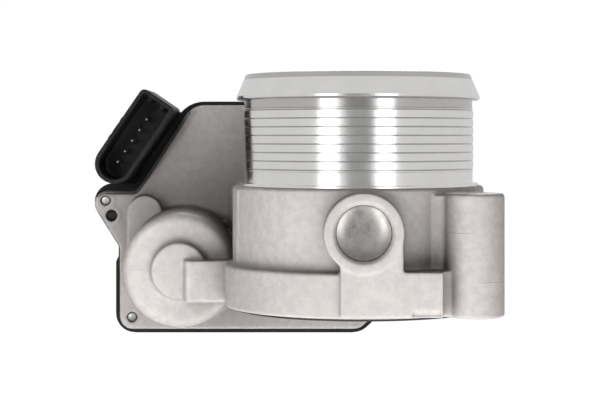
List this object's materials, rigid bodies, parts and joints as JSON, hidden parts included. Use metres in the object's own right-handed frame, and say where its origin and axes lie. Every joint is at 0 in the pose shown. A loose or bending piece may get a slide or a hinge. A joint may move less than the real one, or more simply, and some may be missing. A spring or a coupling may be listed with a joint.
{
  "type": "electronic throttle body",
  "caption": "Electronic throttle body: cast bore with hose spigot and bolt flange, motor can, gear housing, black cover with socket.",
  "frame": {"origin": "centre of the air bore on the manifold flange face", "axes": "+Z along the bore to the hose spigot, +Y along the throttle shaft to the gear housing, +X away from the motor"},
  "size_m": [0.1275, 0.1168, 0.0852],
  "materials": {
    "cast_aluminium": "satin die-cast, machined on the spigot, flange face and shaft boss",
    "seal_rubber": "matt black rubber",
    "plug_steel": "smooth pressed steel",
    "plate_brass": "turned, dull",
    "gear_nylon_dark": "moulded glass-filled nylon",
    "gear_nylon_light": "moulded natural nylon",
    "magnet": "sintered ferrite, dull",
    "bronze": "sintered or machined",
    "black_plastic": "moulded glass-filled plastic, fine grain",
    "contact_metal": "tinned copper alloy",
    "copper": "enamelled copper",
    "zinc_steel": "zinc plated",
    "board_green": "solder mask",
    "spring_steel": "oil-tempered wire",
    "steel": "ground or pressed steel"
  },
  "bodies": {
    "housing": {"throttle_housing": "cast_aluminium", "flange_seal": "seal_rubber", "sealing_plug": "plug_steel", "front_bearing": "steel", "shaft_seals": "seal_rubber", "rear_bearing_outer_ring": "steel", "rear_bearing_balls": "steel", "spring_guide": "gear_nylon_light", "return_spring": "spring_steel", "closed_stop_screw": "steel", "intermediate_pin": "steel", "motor_case": "steel", "motor_magnets": "magnet", "motor_bearings": "bronze", "motor_wave_spring": "spring_steel", "motor_end_plate": "steel", "brush_holder": "black_plastic", "brushes": "magnet", "motor_terminals": "contact_metal", "motor_screws": "steel", "gear_cover": "black_plastic", "cover_gasket": "seal_rubber", "cover_screws": "zinc_steel", "connector_pins": "contact_metal", "sensor_board": "board_green", "sensor_chip": "black_plastic"},
    "throttle": {"throttle_shaft": "steel", "throttle_plate": "plate_brass", "plate_screws": "steel", "rear_bearing_inner_ring": "steel", "sector_gear": "gear_nylon_dark", "sector_magnets": "magnet"},
    "intermediate": {"intermediate_gear": "gear_nylon_light"},
    "motor_rotor": {"motor_shaft": "steel", "armature_stack": "steel", "armature_windings": "copper", "commutator": "copper", "motor_pinion": "bronze"}
  },
  "joints": [
    {"name": "throttle_spin", "type": "hinge", "parent": "housing", "child": "throttle", "pos_m": [0, 0, 0.0242], "axis": [0, 1, 0], "range_deg": [-7, 80], "stiffness_Nm_per_rad": 0.3, "deforming": ["return_spring"]},
    {"name": "intermediate_spin", "type": "hinge", "parent": "housing", "child": "intermediate", "pos_m": [-0.03686, 0.055, 0.021], "axis": [0, 1, 0], "range_deg": [-345, 32]},
    {"name": "motor_spin", "type": "hinge", "parent": "housing", "child": "motor_rotor", "pos_m": [-0.0552, 0.04, 0.0094], "axis": [0, 1, 0], "range_deg": [-126, 1430]}
  ],
  "couplings": [
    {"joint": "intermediate_spin", "follows": "throttle_spin", "ratio": -4.2857},
    {"joint": "motor_spin", "follows": "throttle_spin", "ratio": 17.857}
  ]
}
